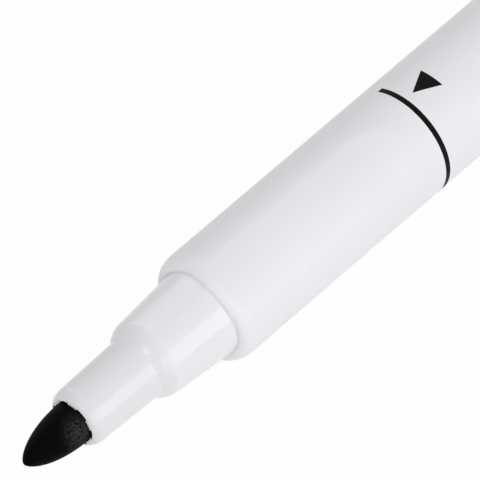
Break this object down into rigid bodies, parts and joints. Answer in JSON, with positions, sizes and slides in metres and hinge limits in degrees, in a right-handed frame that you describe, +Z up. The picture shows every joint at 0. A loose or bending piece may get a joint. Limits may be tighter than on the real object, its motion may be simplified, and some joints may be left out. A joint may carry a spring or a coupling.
{
  "type": "whiteboard marker",
  "caption": "Slim dry-wipe marker with a bullet nib in a grooved nose, a white barrel with grip flats, and a push-on cap with a clip posted on its tail.",
  "frame": {"origin": "under the middle of the marker, on the surface that it lies on", "axes": "+X along the marker from the nib to the capped tail, +Z up, with the cap's clip turned down towards -Y"},
  "size_m": [0.1496, 0.0143, 0.012],
  "materials": {
    "ink_felt": "bonded fibre, black with ink",
    "nose_plastic": "glossy moulded white",
    "barrel_plastic": "satin moulded white with a black printed ring",
    "ink_fibre": "ink-soaked fibre bundle",
    "clear_film": "clear wrap",
    "plug_plastic": "moulded black",
    "cap_plastic": "moulded black",
    "seal_plastic": "milky moulded"
  },
  "bodies": {
    "marker": {"nib": "ink_felt", "nib_holder": "nose_plastic", "barrel": "barrel_plastic", "reservoir_core": "ink_fibre", "reservoir_film": "clear_film", "tail_plug": "plug_plastic"},
    "cap": {"cap_shell": "cap_plastic", "cap_inner_seal": "seal_plastic"}
  },
  "joints": [
    {"name": "cap_pull", "type": "slide", "parent": "marker", "child": "cap", "axis": [1, 0, 0], "range_m": [0, 0.03]}
  ]
}
